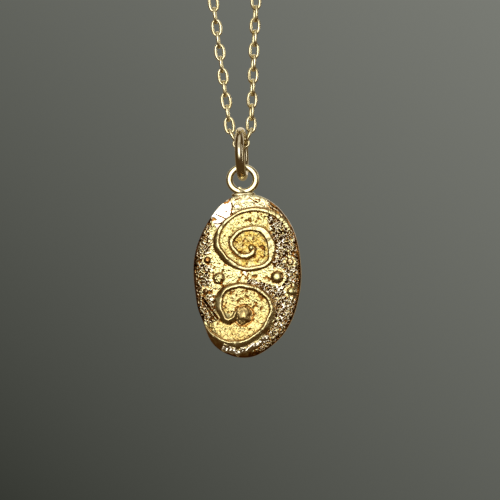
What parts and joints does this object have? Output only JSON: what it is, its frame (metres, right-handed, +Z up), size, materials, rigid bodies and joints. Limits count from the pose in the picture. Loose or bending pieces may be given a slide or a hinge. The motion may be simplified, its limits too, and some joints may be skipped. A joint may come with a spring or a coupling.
{
  "type": "spiral pendant",
  "caption": "Cast oval pendant with raised spirals, hanging by a loop and a jump ring from a fine cable chain with a plain clasp.",
  "frame": {"origin": "the hang point: inside top of the chain's bend, where a peg or hook holds the necklace up", "axes": "+Z is up, against the hang; the pendant's spiral face looks along -Y; +X is to the viewer's right"},
  "size_m": [0.0346, 0.007, 0.2174],
  "materials": {
    "cast_plate": "sand-cast relief, gold plated, burnished on the high spots and dark in the grain",
    "round_wire": "drawn round wire, gold plated and polished",
    "chain_wire": "flattened drawn wire, gold plated and bright",
    "clasp_gold": "gold plated and polished"
  },
  "bodies": {
    "chain": {"chain_left": "chain_wire", "chain_right": "chain_wire", "end_ring_small": "round_wire", "end_ring_large": "round_wire", "clasp": "clasp_gold"},
    "ring": {"jump_ring": "round_wire"},
    "drop": {"pendant": "cast_plate"}
  },
  "joints": [
    {"name": "ring_swing", "type": "hinge", "parent": "chain", "child": "ring", "pos_m": [0, 0, -0.18776], "axis": [1, 0, 0], "range_deg": [-30, 30]},
    {"name": "pendant_swing", "type": "hinge", "parent": "ring", "child": "drop", "pos_m": [0, 0, -0.19236], "axis": [0, 1, 0], "range_deg": [-60, 60]}
  ]
}
